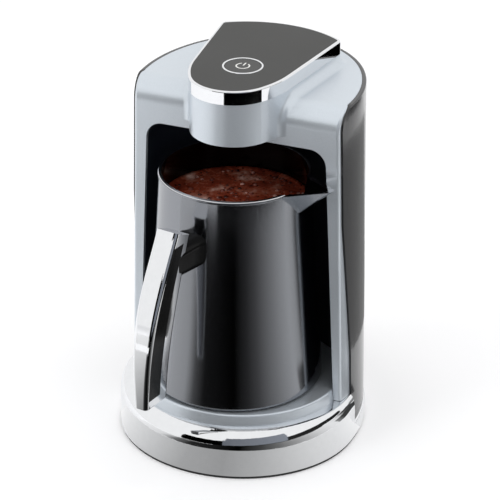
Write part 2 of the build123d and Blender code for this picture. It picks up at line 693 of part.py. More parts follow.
def chassis_posts():
    """Where the posts for the control board stand."""
    rows = (CONTROL_FRONT + CONTROL_POST_IN[0], CONTROL_REAR - CONTROL_POST_IN[1])
    return [(x, y) for y in rows for x in (-CONTROL_POST_X, CONTROL_POST_X)]


def head_chassis():
    """Black carrier under the panel: guides the button and holds the control board."""
    plate = head_prism(HEAD_WALL + GAP, CHASSIS_Z, BEZEL_Z)
    plate += cylinder(GUIDE_R, 0, BUTTON_Y, *guide_ends())
    plate -= cylinder(STEM_R + RUN, 0, BUTTON_Y, 0, TOP_Z)
    for x, y in chassis_posts():
        plate += cylinder(SCREW_BOSS_R, x, y, CONTROL_Z, CHASSIS_Z + MERGE)
        plate -= cylinder(SCREW_R, x, y, CONTROL_Z - CUT, CONTROL_Z + BOARD_SCREW_L)
    return plate


def guide_ends():
    """Heights of the lower and the upper end of the button's guide."""
    top = BEZEL_Z + (GUIDE_H - CHASSIS_T) / 2
    return top - GUIDE_H, top


def button_cap():
    """Round push button with its stem."""
    cap = cylinder(BUTTON_R, 0, BUTTON_Y, CAP_TOP - CAP_T, CAP_TOP)
    cap = fillet(cap.edges().group_by(Axis.Z)[-1], CAP_ROUND)
    cap += cylinder(STEM_R, 0, BUTTON_Y, PLUNGER_TOP + TOUCH, CAP_TOP - CAP_T)
    clip_top = guide_ends()[0] - TOUCH
    groove = ring_of(CLIP_R, STEM_R - CLIP_T, 0, BUTTON_Y, clip_top - CLIP_T, clip_top)
    return cap - groove - button_icon()


def button_clip():
    """Retaining clip on the stem, under the guide."""
    top = guide_ends()[0] - TOUCH
    clip = ring_of(CLIP_R, STEM_R - CLIP_T, 0, BUTTON_Y, top - CLIP_T, top)
    return clip - block((STEM_R, 2 * CLIP_R, 3 * CLIP_T), 0, BUTTON_Y - CLIP_R, top - 2 * CLIP_T)


def button_icon():
    """Power symbol let into the cap: a broken ring and a bar."""
    low = CAP_TOP - ICON_T
    ring = ring_of(ICON_R, ICON_R - ICON_LINE, 0, BUTTON_Y, low, CAP_TOP)
    notch = block((ICON_NOTCH, ICON_R, CAP_T), 0, BUTTON_Y + ICON_R, low - ICON_T)
    bar = block((ICON_LINE, ICON_R, ICON_T), 0, BUTTON_Y + ICON_BAR_UP, low)
    return ring - notch + bar


def button_spring():
    """Return spring between the guide and the cap."""
    low = guide_ends()[1] + SPRING_WIRE_R
    high = CAP_TOP - CAP_T - SPRING_WIRE_R
    path = Helix((high - low) / SPRING_TURNS, high - low, SPRING_R)
    section = Plane(origin=path @ 0, z_dir=path % 0) * Circle(SPRING_WIRE_R)
    return Pos(0, BUTTON_Y, low) * sweep(section, path=path)


def push_switch():
    """Switch body on the control board."""
    body = block((SWITCH_SIZE, SWITCH_SIZE, SWITCH_H), 0, BUTTON_Y, CONTROL_Z)
    depth = PLUNGER_DEPTH + BUTTON_TRAVEL + GAP
    return body - cylinder(PLUNGER_R + RUN, 0, BUTTON_Y, SWITCH_TOP - depth, TOP_Z)


def switch_plunger():
    """The push switch's moving part."""
    return cylinder(PLUNGER_R, 0, BUTTON_Y, SWITCH_TOP - PLUNGER_DEPTH, PLUNGER_TOP)


def control_board():
    """Board under the button, with its chip."""
    length = CONTROL_REAR - CONTROL_FRONT
    plan = head_plan(HEAD_WALL + BOARD_CLEAR)
    plan &= Pos(0, CONTROL_FRONT + length / 2) * Rectangle(CONTROL_W, length)
    board = Pos(0, 0, CONTROL_Z - BOARD_T) * extrude(plan, BOARD_T)
    for x, y in chassis_posts():
        board -= cylinder(SCREW_R + GAP, x, y, 0, TOP_Z)
    return board + block(CHIP, *CHIP_AT, CONTROL_Z)


def buzzer():
    """Sounder on the control board."""
    return cylinder(BUZZER_R, *BUZZER_AT, CONTROL_Z, CONTROL_Z + BUZZER_H)


def snout_cover():
    """Black floor of the projecting head, on a lip inside it."""
    cover = head_prism(HEAD_WALL + GAP, COVER_Z, COVER_Z + COVER_T)
    cover &= Pos(0, FRAME_WALL - RING_B, 0) * Box(2 * RING_A, 2 * RING_B, 3 * TOP_Z)
    return cover - cylinder(WINDOW_R + GAP, 0, WINDOW_Y, 0, TOP_Z)


def sensor_window():
    """Clear window of the sensor that watches the rising foam."""
    top = COVER_Z + COVER_T
    window = cylinder(WINDOW_R, 0, WINDOW_Y, COVER_Z - GAP, top)
    return window + cylinder(WINDOW_R + WINDOW_RIM, 0, WINDOW_Y, top, top + WINDOW_RIM_T)


def foam_sensor():
    """Sensor between its window and the control board."""
    z0 = COVER_Z + COVER_T + WINDOW_RIM_T
    z1 = CONTROL_Z - BOARD_T
    return block((*SENSOR, z1 - z0), 0, WINDOW_Y, z0)


# ---------------------------------------------------------------- power board
def board_pillars():
    """Where the pillars under the power board's corners stand."""
    x = POWER_W / 2 - SCREW_BOSS_R
    y = POWER_D / 2 - SCREW_BOSS_R
    return [(i * x, POWER_Y + j * y) for i in (-1, 1) for j in (-1, 1)]


def power_board():
    """Board on the floor's pillars that feeds the heater."""
    board = block((POWER_W, POWER_D, BOARD_T), 0, POWER_Y, POWER_Z)
    for x, y in board_pillars():
        board -= cylinder(SCREW_R + GAP, x, y, 0, POWER_TOP + CUT)
    return board


def relay():
    """Relay on the power board's rear half."""
    y = POWER_Y + (POWER_D - RELAY[1]) / 2
    return block(RELAY, RELAY_X, y, POWER_TOP)


def terminal_block():
    """Screw terminals for the heater's leads."""
    y = POWER_Y - POWER_D / 2 + TERMINAL[1] / 2
    body = block(TERMINAL, 0, y, POWER_TOP)
    for side in (-1, 1):
        low = POWER_TOP + TERMINAL[2] - TERMINAL_HOLE_DEPTH
        body -= cylinder(SCREW_R, side * TERMINAL_HOLE_X, y, low, TOP_Z)
    return body


def capacitor():
    """Upright capacitor beside the relay."""
    x = RELAY_X + RELAY[0] / 2 + PARTS_GAP + CAPACITOR_R
    return cylinder(CAPACITOR_R, x, POWER_Y, POWER_TOP, POWER_TOP + CAPACITOR_H)


def heater_wires():
    """Two leads from the terminals under the shield and up to the heater's pins."""
    start = POWER_Y - POWER_D / 2
    level = POWER_TOP + WIRE_R + GAP
    low = PAN_TOP + WIRE_LIFT
    pin_z = SHIELD_Z - PIN_DROP
    wires = []
    for x, pin_y in pin_places():
        route = [(x, start, level), (x, start - WIRE_STEP, level), (x, start - 2 * WIRE_STEP, low),
                 (x, pin_y, low), (x, pin_y, pin_z)]
        wires.append(wire(route, WIRE_R, WIRE_BEND))
    return wires


def probe_wire():
    """Lead from the temperature probe to the power board."""
    low = PAN_TOP + WIRE_LIFT
    edge = POWER_Y - POWER_D / 2
    level = POWER_Z + BOARD_T / 2
    route = [(0, 0, DECK_UNDER - PROBE_H), (0, 0, low), (0, edge - 2 * WIRE_STEP, low),
             (0, edge - WIRE_STEP, level), (0, edge, level)]
    return wire(route, WIRE_R, WIRE_BEND)


def head_cable():
    """Sheathed cable from the power board up to the control board."""
    start_y = POWER_Y - CABLE_IN
    end_y = CONTROL_REAR - CABLE_END
    under = CONTROL_Z - BOARD_T
    turn = under - CABLE_TURN
    route = [(-CABLE_X, start_y, POWER_TOP), (-CABLE_X, start_y, turn), (-CABLE_X, end_y, turn),
             (-CABLE_X, end_y, under)]
    return wire(route, CABLE_R, CABLE_BEND)


# ---------------------------------------------------------------- fasteners
def base_screws():
    """Screws through the floor into the deck's bosses, heads below."""
    level = FOOT_H + SCREW_HEAD_H
    upright = screw(BASE_SCREW_L + PAN_WALL - SCREW_HEAD_H)
    return [Pos(x, y, level) * Rot(180, 0, 0) * upright for x, y in base_screw_places()]


def power_board_screws():
    return [Pos(x, y, POWER_TOP) * screw(POWER_STAND) for x, y in board_pillars()]


def control_board_screws():
    level = CONTROL_Z - BOARD_T
    upright = Rot(180, 0, 0) * screw(BOARD_SCREW_L + BOARD_T - MERGE)
    return [Pos(x, y, level) * upright for x, y in chassis_posts()]


# ---------------------------------------------------------------- pot
def pot_radius(z):
    """Outside radius of the pot's wall at height z."""
    share = (z - PLATE_TOP) / (POT_RIM_Z - PLATE_TOP)
    return POT_R_FOOT + (POT_R_RIM - POT_R_FOOT) * share


def pot_cone(inset, floor, top):
    """Body of the pot as a solid of revolution, with a rounded foot."""
    foot = (pot_radius(floor) - inset, floor)
    rim = (pot_radius(top) - inset, top)
    half = make_face(Plane.XZ * Polyline((0, floor), foot, rim, (0, top), close=True))
    corner = [v for v in half.vertices() if hypot(v.X - foot[0], v.Z - floor) < 0.01]
    return revolve(fillet(corner, POT_FOOT_ROUND), Axis.Z)


def spout(inset, lift):
    """Pinched spout: a wedge whose edge fades into the wall lower down."""
    half_angle = radians(SPOUT_HALF_ANGLE)
    tip_r = max(SPOUT_TIP_R - inset, 0.5)
    past_tip = tip_r / sin(half_angle) - tip_r - inset

    def wedge(plane, length, back):
        apex = length + past_tip
        half = (apex + back) * tan(half_angle)
        face = make_face(Polyline((-back, half), (apex, 0), (-back, -half), close=True))
        tip = [v for v in face.vertices() if abs(v.Y) < 0.01]
        return plane * fillet(tip, tip_r)

    tilt = radians(SPOUT_RISE)
    low_z = POT_RIM_Z - SPOUT_DROP
    top = Plane(origin=(POT_R_RIM, 0, POT_RIM_Z + lift), x_dir=(cos(tilt), 0, sin(tilt)),
                z_dir=(-sin(tilt), 0, cos(tilt)))
    low = Plane(origin=(pot_radius(low_z), 0, low_z))
    wedges = [wedge(low, 0, SPOUT_ROOT_LOW), wedge(top, SPOUT_OUT, SPOUT_ROOT)]
    return Rot(0, 0, SPOUT_ANGLE) * loft(wedges)


def pot_vessel():
    """Tapered metal pot with its spout."""
    body = pot_cone(0, PLATE_TOP, POT_RIM_Z)
    bead = Pos(0, 0, POT_RIM_Z - POT_BEAD_R) * Torus(POT_R_RIM - POT_BEAD_R / 2, POT_BEAD_R)
    body = body + bead + spout(0, 0)
    body -= pot_cone(POT_WALL, PLATE_TOP + POT_FLOOR, POT_RIM_Z + SPOUT_CUT)
    return body - spout(POT_WALL, SPOUT_CUT)


def handle_turn():
    """Turns a handle piece from the plane X = 0 to its place."""
    return Rot(0, 0, -HANDLE_ANGLE)


def handle_loft(section):
    """Loft through the handle's five stations; section(width, depth) draws one."""
    profiles = []
    for out, drop, lean, width, depth in zip(HANDLE_OUT, HANDLE_DROP, HANDLE_LEAN, HANDLE_W, HANDLE_D):
        along = (0, -sin(radians(lean)), -cos(radians(lean)))
        centre = (0, -POT_R_FOOT - out, POT_RIM_Z - drop)
        station = Plane(origin=centre, x_dir=(1, 0, 0), z_dir=along)
        profiles.append(station * section(width, depth))
    return loft(profiles)


def handle_body():
    """The handle's bar, before its recesses."""
    bar = handle_loft(lambda w, d: RectangleRounded(w, d, HANDLE_CORNER))
    ends = bar.edges().group_by(Axis.Z)
    return fillet(ends[0], HANDLE_FOOT_ROUND)


def handle_inlay(side):
    """Black strip let into one side of the handle."""
    def strip(width, depth):
        shift = depth * INLAY_SHIFT
        return Pos(side * width / 2, shift) * Rectangle(2 * INLAY_DEPTH, depth * INLAY_SHARE)

    low = POT_RIM_Z - HANDLE_DROP[-1] + INLAY_END
    high = POT_RIM_Z - HANDLE_DROP[0] - INLAY_END
    span = Pos(0, 0, (low + high) / 2) * Box(4 * RING_A, 4 * RING_A, high - low)
    return handle_loft(strip) & span & handle_body()


def boss_bore(radius, start, end):
    """Radial pin in the handle's plane, from radius start to radius end."""
    outward = Plane(origin=(0, -start, BOSS_Z), z_dir=(0, -1, 0))
    return extrude(outward * Circle(radius), end - start)


def handle_frame():
    """Chrome handle, recessed for the inlays and bored for the stud."""
    bar = handle_body() - boss_bore(STUD_R + GAP, 0, STUD_END + GAP)
    for side in (-1, 1):
        bar -= handle_inlay(side)
    return bar


def handle_boss():
    """Black block between the pot's wall and the handle."""
    def section(r, width, height):
        plane = Plane(origin=(0, -r, BOSS_Z), x_dir=(1, 0, 0), z_dir=(0, -1, 0))
        return plane * RectangleRounded(width, height, BOSS_ROUND)

    wide = section(pot_radius(BOSS_Z) - BOSS_IN, BOSS_W, BOSS_H)
    narrow = section(STUD_END, BOSS_W * BOSS_TAPER[0], BOSS_H * BOSS_TAPER[1])
    boss = loft([wide, narrow]) - handle_body() - pot_cone(0, PLATE_TOP, POT_RIM_Z)
    boss = boss.solids().sort_by(SortBy.VOLUME)[-1]
    return boss - boss_bore(STUD_R + GAP, 0, STUD_END + BOSS_H)


def handle_stud():
    """Stud on the pot's wall that carries the boss and the handle."""
    stud = boss_bore(STUD_R, pot_radius(BOSS_Z) - BOSS_IN, STUD_END)
    return stud - pot_cone(0, PLATE_TOP, POT_RIM_Z)


# ---------------------------------------------------------------- output
def centring(shapes):
    """The move that puts the middle of the footprint on the origin."""
    boxes = [shape.bounding_box() for shape in shapes if not isinstance(shape, list)]
    low_x = min(box.min.X for box in boxes)
    high_x = max(box.max.X for box in boxes)
    low_y = min(box.min.Y for box in boxes)
    high_y = max(box.max.Y for box in boxes)
    return Pos(-(low_x + high_x) / 2, -(low_y + high_y) / 2, 0)


def main():
    nodes = {
        "foot_ring": foot_ring(),
        "base_pan": base_pan(),
        "base_ring": base_ring(),
        "deck_plate": deck_plate(),
        "base_screws": base_screws(),
        "front_frame": front_frame(),
        "rear_shell": rear_shell(),
        "cavity_liner": cavity_liner(),
        "cord_grommet": cord_grommet(),
        "heating_plate": heating_plate(),
        "heating_element": heating_element(),
        "heat_shield": heat_shield(),
        "thermostat": thermostat(),
        "thermal_fuse": thermal_fuse(),
        "temperature_probe": temperature_probe(),
        "head_bezel": head_bezel(),
        "top_panel": top_panel(),
        "button_ring": button_ring(),
        "head_chassis": head_chassis(),
        "control_board": control_board(),
        "control_board_screws": control_board_screws(),
        "push_switch": push_switch(),
        "buzzer": buzzer(),
        "snout_cover": snout_cover(),
        "sensor_window": sensor_window(),
        "foam_sensor": foam_sensor(),
        "power_board": power_board(),
        "power_board_screws": power_board_screws(),
        "relay": relay(),
        "terminal_block": terminal_block(),
        "capacitor": capacitor(),
        "heater_wires": heater_wires(),
        "probe_wire": probe_wire(),
        "head_cable": head_cable(),
        "button_cap": button_cap(),
        "button_icon": button_icon(),
        "button_clip": button_clip(),
        "button_spring": button_spring(),
        "switch_plunger": switch_plunger(),
        "pot_vessel": pot_vessel(),
        "handle_boss": handle_turn() * handle_boss(),
        "handle_frame": handle_turn() * handle_frame(),
        "handle_inlay_left": handle_turn() * handle_inlay(-1),
        "handle_inlay_right": handle_turn() * handle_inlay(1),
        "handle_stud": handle_turn() * handle_stud(),
    }
    to_origin = centring(nodes.values())
    os.makedirs("parts", exist_ok=True)
    for name, shape in nodes.items():
        if isinstance(shape, list):
            placed = Compound(children=[to_origin * solid for solid in shape])
        else:
            placed = to_origin * shape
        export_step(placed, f"parts/{name}.step")


if __name__ == "__main__":
    main()
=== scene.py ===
import bpy
import bmesh
import json
import random
from math import cos, hypot, pi, radians, sin
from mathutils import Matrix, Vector

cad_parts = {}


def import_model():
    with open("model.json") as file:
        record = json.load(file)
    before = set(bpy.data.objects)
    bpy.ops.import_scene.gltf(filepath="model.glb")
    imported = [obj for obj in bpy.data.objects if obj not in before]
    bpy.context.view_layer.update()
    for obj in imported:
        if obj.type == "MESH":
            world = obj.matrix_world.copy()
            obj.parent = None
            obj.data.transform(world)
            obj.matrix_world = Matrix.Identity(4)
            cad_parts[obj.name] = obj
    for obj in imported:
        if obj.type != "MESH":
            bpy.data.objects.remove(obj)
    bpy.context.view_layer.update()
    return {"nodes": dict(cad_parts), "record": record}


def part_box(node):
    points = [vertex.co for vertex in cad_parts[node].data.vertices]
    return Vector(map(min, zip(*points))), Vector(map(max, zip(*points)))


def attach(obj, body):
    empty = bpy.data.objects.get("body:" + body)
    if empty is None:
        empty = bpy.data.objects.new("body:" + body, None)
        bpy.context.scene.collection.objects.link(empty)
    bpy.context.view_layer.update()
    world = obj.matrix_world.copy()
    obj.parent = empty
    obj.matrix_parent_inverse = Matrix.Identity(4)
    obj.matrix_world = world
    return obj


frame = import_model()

NODES = frame["nodes"]

# Lengths are in metres. Azimuths are in degrees round the object: 0 in front, 90 at the right.

# ---------------------------------------------------------------- camera
CAMERA_AT = Vector((0.47779, -1.11216, 0.72409))
CAMERA_FORWARD = Vector((-0.34648, 0.82098, -0.45380))
FOCAL_PX = 2521.9            # focal length in pixels of the picture
PICTURE_PX = 500
SENSOR_MM = 36

# ---------------------------------------------------------------- coffee
COFFEE_Z = 0.138             # its surface above the table
COFFEE_DEPTH = 0.012         # of the body that stands for it
COFFEE_GAP = 0.0002          # between the coffee and the pot's wall
COFFEE_STEPS = 128           # corners round the pot
MENISCUS = 0.0012            # rise at the wall, and its width
MENISCUS_START = 0.2         # share of the rise where it starts
SURFACE_RINGS = (0.5, 0.9)   # shares of the radius where the flat surface has corners

BUBBLE_SEED = 4
BUBBLES_AT_EDGE = 70
BUBBLES_INSIDE = 60
BUBBLE_RADII = (0.0004, 0.0016)
BUBBLE_HEIGHT = 0.55         # height of a dome for a radius of 1
BUBBLE_SEGMENTS = 14
BUBBLE_ROWS = 8
EDGE_DISTANCES = (1.0, 4.0)  # from the coffee's edge, in radii of the bubble
INSIDE_SHARES = (0.1, 0.85)  # shares of the coffee's radius
GROUP_AT = 2.4               # middle and spread of the loose groups, radians round the pot
GROUP_SPREAD = 1.1

# ---------------------------------------------------------------- pot's colours, painted shade and painted highlight
INSIDE_LIMIT = -0.01         # below it, a face of the pot looks towards the axis
# painted shade: near-black for the pot's inside, where the white surroundings would otherwise
# light it
INSIDE_SHADE_BLACK = (0.012, 0.010, 0.010)
# bare steel of the rim, partly a painted highlight along the rim
RIM_METAL_HIGHLIGHT = (0.78, 0.78, 0.80)
RIM_NORMAL_Z = 0.7           # the pot's rim is bare metal, bright as a painted highlight too, where it faces up
RIM_LOW_Z = 0.140

# ---------------------------------------------------------------- stage
WHITE = (1.0, 1.0, 1.0)
BLACK = (0.0, 0.0, 0.0)
SOOT = (0.02, 0.02, 0.02)
LAVENDER_DARK = (0.15, 0.16, 0.185)
LAVENDER = (0.26, 0.28, 0.32)

FLOOR_HALF = 6.0
FLOOR_Z = -0.0002
FLOOR_COLOUR = (0.92, 0.92, 0.93)
FLOOR_LIFT = 0.17            # takes the floor's unshadowed grey up to white
WORLD_LIGHT = 0.75           # the world's level where it only lights the object

CARD_STEPS = 48              # corners along a card
CARD_LIFT = 0.0004           # flags above the floor
RING_GAP = 0.0004            # between the base ring and the nearest flag
RING_FLAG_END = 0.100        # radius where the nearest flag ends
FAR_CARD = 1.2               # distance of the upright cards

# (azimuth, grey level) stops of the flag that starts at the base ring
RING_FLAG = [(-75, 1.0), (-44, 0.73), (-27, 0.58), (-10, 0.42), (14, 0.36), (33, 0.46),
             (51, 0.60), (69, 0.74), (90, 0.86), (110, 1.0)]

FLOOR_FLAGS = [              # name, near radius, far radius, (azimuth, grey level) stops
    ("flag_pot", 0.101, 0.46,
     [(-60, 1.0), (-36, 0.80), (-25, 0.17), (-13, 0.02), (22, 0.0), (37, 0.055), (49, 0.15),
      (61, 0.33), (72, 0.50), (83, 0.70), (96, 0.90), (100, 0.88)]),
    ("flag_side", 0.15, 0.46,
     [(100, 0.88), (108, 0.75), (115, 0.10), (127, 0.05), (131, 0.34), (175, 0.34)]),
    ("flag_band", 0.462, FAR_CARD, [(-2, 0.0), (96, 0.0)]),
    ("flag_far", 0.60, FAR_CARD, [(-40, 1.0), (-30, 0.60), (-22, 0.05), (-2, 0.0)]),
    ("flag_inlay", 0.101, 0.15, [(100, 0.30), (108, 0.05), (125, 0.05)]),
    ("flag_head", 0.50, 0.66, [(136, 0.0), (165, 0.0)]),
]

UPRIGHT_CARDS = [            # name, height, (azimuth, colour) stops
    ("card_left", 0.60, [(-31, BLACK), (5, BLACK)]),
    ("card_middle", 1.10, [(5, LAVENDER_DARK), (61, LAVENDER)]),
    ("card_right", 0.36, [(61, SOOT), (122, SOOT)]),
]

LAMPS = [                    # name, place, (width, height), watts
    ("key", (-0.9, -1.0, 1.3), (0.9, 0.9), 5),
    ("fill", (1.3, -0.5, 1.1), (0.8, 1.0), 3),
    ("top", (0.1, 0.2, 1.8), (1.2, 1.2), 6),
]
LAMP_TARGET = Vector((0, 0, 0.1))

# ---------------------------------------------------------------- finishes
# name: (low colour, high colour, roughness from and to, further values of finish_of)
FINISHES = {
    "silver_lacquer": ((0.61, 0.66, 0.71), (0.67, 0.72, 0.77), (0.26, 0.34),
                       dict(metal=0.6, fleck=3200.0, bump_m=0.000004)),
    "chrome": ((0.815, 0.825, 0.84), (0.835, 0.845, 0.86), (0.04, 0.07),
               dict(metal=1.0, fleck=260.0)),
    "panel_grey": ((0.034, 0.034, 0.033), (0.052, 0.052, 0.050), (0.34, 0.46),
                   dict(fleck=4200.0, bump_m=0.000006, specular=0.2)),
    "button_grey": ((0.036, 0.036, 0.035), (0.054, 0.054, 0.052), (0.28, 0.38),
                    dict(fleck=4200.0, bump_m=0.000004, specular=0.25)),
    "icon_pale": ((0.72, 0.72, 0.69), (0.82, 0.82, 0.79), (0.3, 0.4), {}),
    "black_shell": ((0.012, 0.012, 0.013), (0.020, 0.020, 0.021), (0.10, 0.20),
                    dict(fleck=1500.0, bump_m=0.000002, coat=0.3, coat_rough=0.06)),
    "black_liner": ((0.008, 0.010, 0.016), (0.014, 0.018, 0.028), (0.30, 0.42),
                    dict(fleck=2600.0, bump_m=0.00001)),
    "black_trim": ((0.004, 0.004, 0.004), (0.007, 0.007, 0.007), (0.10, 0.16),
                   dict(fleck=1800.0, bump_m=0.000003, specular=0.10)),
    "pot_black": ((0.258, 0.268, 0.288), (0.281, 0.291, 0.312), (0.12, 0.15),
                  dict(metal=1.0, fleck=2600.0, bump_m=0.0000015)),
    "rubber_black": ((0.010, 0.010, 0.010), (0.020, 0.020, 0.020), (0.65, 0.85),
                     dict(fleck=3000.0, bump_m=0.00003)),
    "plate_dark": ((0.03, 0.03, 0.032), (0.06, 0.06, 0.064), (0.35, 0.5),
                   dict(metal=0.6, fleck=3500.0, bump_m=0.00001)),
    "steel": ((0.50, 0.51, 0.52), (0.66, 0.67, 0.68), (0.22, 0.38),
              dict(metal=1.0, fleck=1500.0, bump_m=0.000004)),
    "board_green": ((0.02, 0.16, 0.06), (0.04, 0.24, 0.10), (0.3, 0.45), dict(fleck=900.0)),
    "black_parts": ((0.02, 0.02, 0.02), (0.04, 0.04, 0.04), (0.5, 0.65),
                    dict(fleck=2500.0, bump_m=0.00001)),
    "wire_red": ((0.36, 0.03, 0.02), (0.48, 0.05, 0.03), (0.4, 0.55), dict(fleck=1200.0)),
    "window_clear": ((0.25, 0.03, 0.04), (0.35, 0.05, 0.06), (0.04, 0.10),
                     dict(fleck=600.0, transmission=0.8)),
}

FINISH_OF_SLOT = {           # the record's slots whose finish has another name
    "silver_front": "silver_lacquer",
    "shield_metal": "steel",
    "board": "board_green",
}


# ---------------------------------------------------------------- node helpers
def new_material(name):
    """A node material: (material, its nodes, its links, its principled shader)."""
    material = bpy.data.materials.new(name)
    material.use_nodes = True
    tree = material.node_tree
    return material, tree.nodes, tree.links, tree.nodes["Principled BSDF"]


def set_inputs(node, **values):
    """Sets a node's sockets by name; underscores stand for spaces."""
    for key, value in values.items():
        socket = node.inputs[key.replace("_", " ")]
        if socket.type == "RGBA":
            value = (*value, 1.0)
        socket.default_value = value


def feed(links, socket, value):
    """Gives a socket its value: another socket, a colour or a number."""
    if isinstance(value, bpy.types.NodeSocket):
        links.new(value, socket)
    elif socket.type == "RGBA":
        socket.default_value = (*value, 1.0)
    else:
        socket.default_value = value


def place(nodes):
    """Object coordinates: CAD nodes and pieces sit at the origin, so these are metres."""
    return nodes.new("ShaderNodeTexCoord").outputs["Object"]


def noise(nodes, links, where, scale, detail=3.0, roughness=0.5):
    node = nodes.new("ShaderNodeTexNoise")
    links.new(where, node.inputs["Vector"])
    set_inputs(node, Scale=scale, Detail=detail, Roughness=roughness)
    return node.outputs["Fac"]


def ramp(nodes, links, fac, stops):
    """Colour ramp; stops are (position, colour)."""
    node = nodes.new("ShaderNodeValToRGB")
    links.new(fac, node.inputs["Fac"])
    band = node.color_ramp
    for element, (position, colour) in zip(band.elements, (stops[0], stops[-1])):
        element.position = position
        element.color = (*colour, 1)
    for position, colour in stops[1:-1]:
        band.elements.new(position).color = (*colour, 1)
    return node.outputs["Color"]


def span(nodes, links, fac, low, high):
    """Maps a 0 to 1 value to low to high."""
    node = nodes.new("ShaderNodeMapRange")
    links.new(fac, node.inputs["Value"])
    set_inputs(node, To_Min=low, To_Max=high)
    return node.outputs["Result"]


def bump(nodes, links, shader, height, distance, strength=1.0):
    node = nodes.new("ShaderNodeBump")
    links.new(height, node.inputs["Height"])
    set_inputs(node, Distance=distance, Strength=strength)
    links.new(node.outputs["Normal"], shader.inputs["Normal"])


def calc(nodes, links, operation, first, second):
    """Result of a math node; first and second are sockets or numbers."""
    node = nodes.new("ShaderNodeMath")
    node.operation = operation
    feed(links, node.inputs[0], first)
    feed(links, node.inputs[1], second)
    return node.outputs[0]


def vector_calc(nodes, links, operation, first, second):
    """The vector math node; first and second are sockets or vectors."""
    node = nodes.new("ShaderNodeVectorMath")
    node.operation = operation
    feed(links, node.inputs[0], first)
    feed(links, node.inputs[1], second)
    return node


def split(nodes, links, vector):
    """A vector's X, Y and Z outputs."""
    node = nodes.new("ShaderNodeSeparateXYZ")
    links.new(vector, node.inputs["Vector"])
    return node.outputs


def mixed_colour(nodes, links, factor, low, high, blend="MIX"):
    """Blend of two colours; each is a socket or a colour, and factor a socket or a number."""
    node = nodes.new("ShaderNodeMix")
    node.data_type = "RGBA"
    node.blend_type = blend
    for slot, value in (("Factor", factor), ("A", low), ("B", high)):
        feed(links, next(s for s in node.inputs if s.name == slot and s.enabled), value)
    return next(s for s in node.outputs if s.enabled)


# ---------------------------------------------------------------- materials
def finish_of(name, low, high, rough, metal=0.0, fleck=2500.0, cloud=18.0, bump_m=0.0,
              coat=0.0, coat_rough=0.05, specular=0.5, transmission=0.0):
    """A finish: colour between low and high in flecks, roughness between its two values in
    clouds, and bumps of bump_m metres in the flecks."""
    material, nodes, links, shader = new_material(name)
    where = place(nodes)
    grain = noise(nodes, links, where, fleck, 2.0)
    broad = noise(nodes, links, where, cloud, 4.0)
    links.new(ramp(nodes, links, grain, [(0.3, low), (0.7, high)]), shader.inputs["Base Color"])
    links.new(span(nodes, links, broad, *rough), shader.inputs["Roughness"])
    set_inputs(shader, Metallic=metal, Coat_Weight=coat, Coat_Roughness=coat_rough,
               Specular_IOR_Level=specular, Transmission_Weight=transmission)
    if bump_m:
        bump(nodes, links, shader, grain, bump_m)
    return material


def colour_pot(material):
    """Leaves the coat on the pot's outside, paints the inside near-black as painted shade, and
    gives the rim, where it faces up, bright bare metal that is partly a painted highlight.
    """
    nodes = material.node_tree.nodes
    links = material.node_tree.links
    base = nodes["Principled BSDF"].inputs["Base Color"]
    outside = base.links[0].from_socket
    facing = nodes.new("ShaderNodeTexCoord").outputs["Normal"]
    from_axis = vector_calc(nodes, links, "SUBTRACT", place(nodes), (0, axis_y(), 0))
    level = vector_calc(nodes, links, "MULTIPLY", from_axis.outputs["Vector"], (1, 1, 0))
    outward = vector_calc(nodes, links, "DOT_PRODUCT", level.outputs["Vector"], facing)
    is_outside = calc(nodes, links, "GREATER_THAN", outward.outputs["Value"], INSIDE_LIMIT)
    # painted shade: faces that look towards the axis get the near-black inside colour
    coat = mixed_colour(nodes, links, is_outside, INSIDE_SHADE_BLACK, outside)
    faces_up = calc(nodes, links, "GREATER_THAN", split(nodes, links, facing)["Z"], RIM_NORMAL_Z)
    is_high = calc(nodes, links, "GREATER_THAN", split(nodes, links, place(nodes))["Z"], RIM_LOW_Z)
    is_rim = calc(nodes, links, "MULTIPLY", faces_up, is_high)
    # the rim's bare metal, partly a painted highlight
    links.new(mixed_colour(nodes, links, is_rim, coat, RIM_METAL_HIGHLIGHT), base)


def coffee_material():
    """Dark red coffee with tan foam in patches and pinholes."""
    material, nodes, links, shader = new_material("coffee")
    where = place(nodes)
    broad = noise(nodes, links, where, 85.0, 7.0, 0.66)
    tint = ramp(nodes, links, broad, [(0.32, (0.06, 0.006, 0.004)), (0.43, (0.20, 0.032, 0.015)),
                                      (0.55, (0.30, 0.064, 0.032)), (0.61, (0.42, 0.18, 0.13)),
                                      (0.70, (0.74, 0.48, 0.42))])
    cells = nodes.new("ShaderNodeTexVoronoi")
    links.new(where, cells.inputs["Vector"])
    set_inputs(cells, Scale=330.0)
    holes = ramp(nodes, links, cells.outputs["Distance"],
                 [(0.14, (0.12, 0.06, 0.05)), (0.26, WHITE)])
    links.new(mixed_colour(nodes, links, 1.0, tint, holes, "MULTIPLY"),
              shader.inputs["Base Color"])
    links.new(span(nodes, links, broad, 0.12, 0.42), shader.inputs["Roughness"])
    bump(nodes, links, shader, cells.outputs["Distance"], 0.0003, 0.6)
    return material


def bubble_material():
    """Thin skins of foam: dark red, glossy, paler in places."""
    material, nodes, links, shader = new_material("bubbles")
    cloud = noise(nodes, links, place(nodes), 200.0, 3.0)
    tint = ramp(nodes, links, cloud, [(0.38, (0.04, 0.005, 0.003)), (0.52, (0.16, 0.030, 0.018)),
                                      (0.66, (0.60, 0.33, 0.28))])
    links.new(tint, shader.inputs["Base Color"])
    links.new(span(nodes, links, cloud, 0.03, 0.10), shader.inputs["Roughness"])
    set_inputs(shader, Coat_Weight=0.5, Coat_Roughness=0.03)
    return material


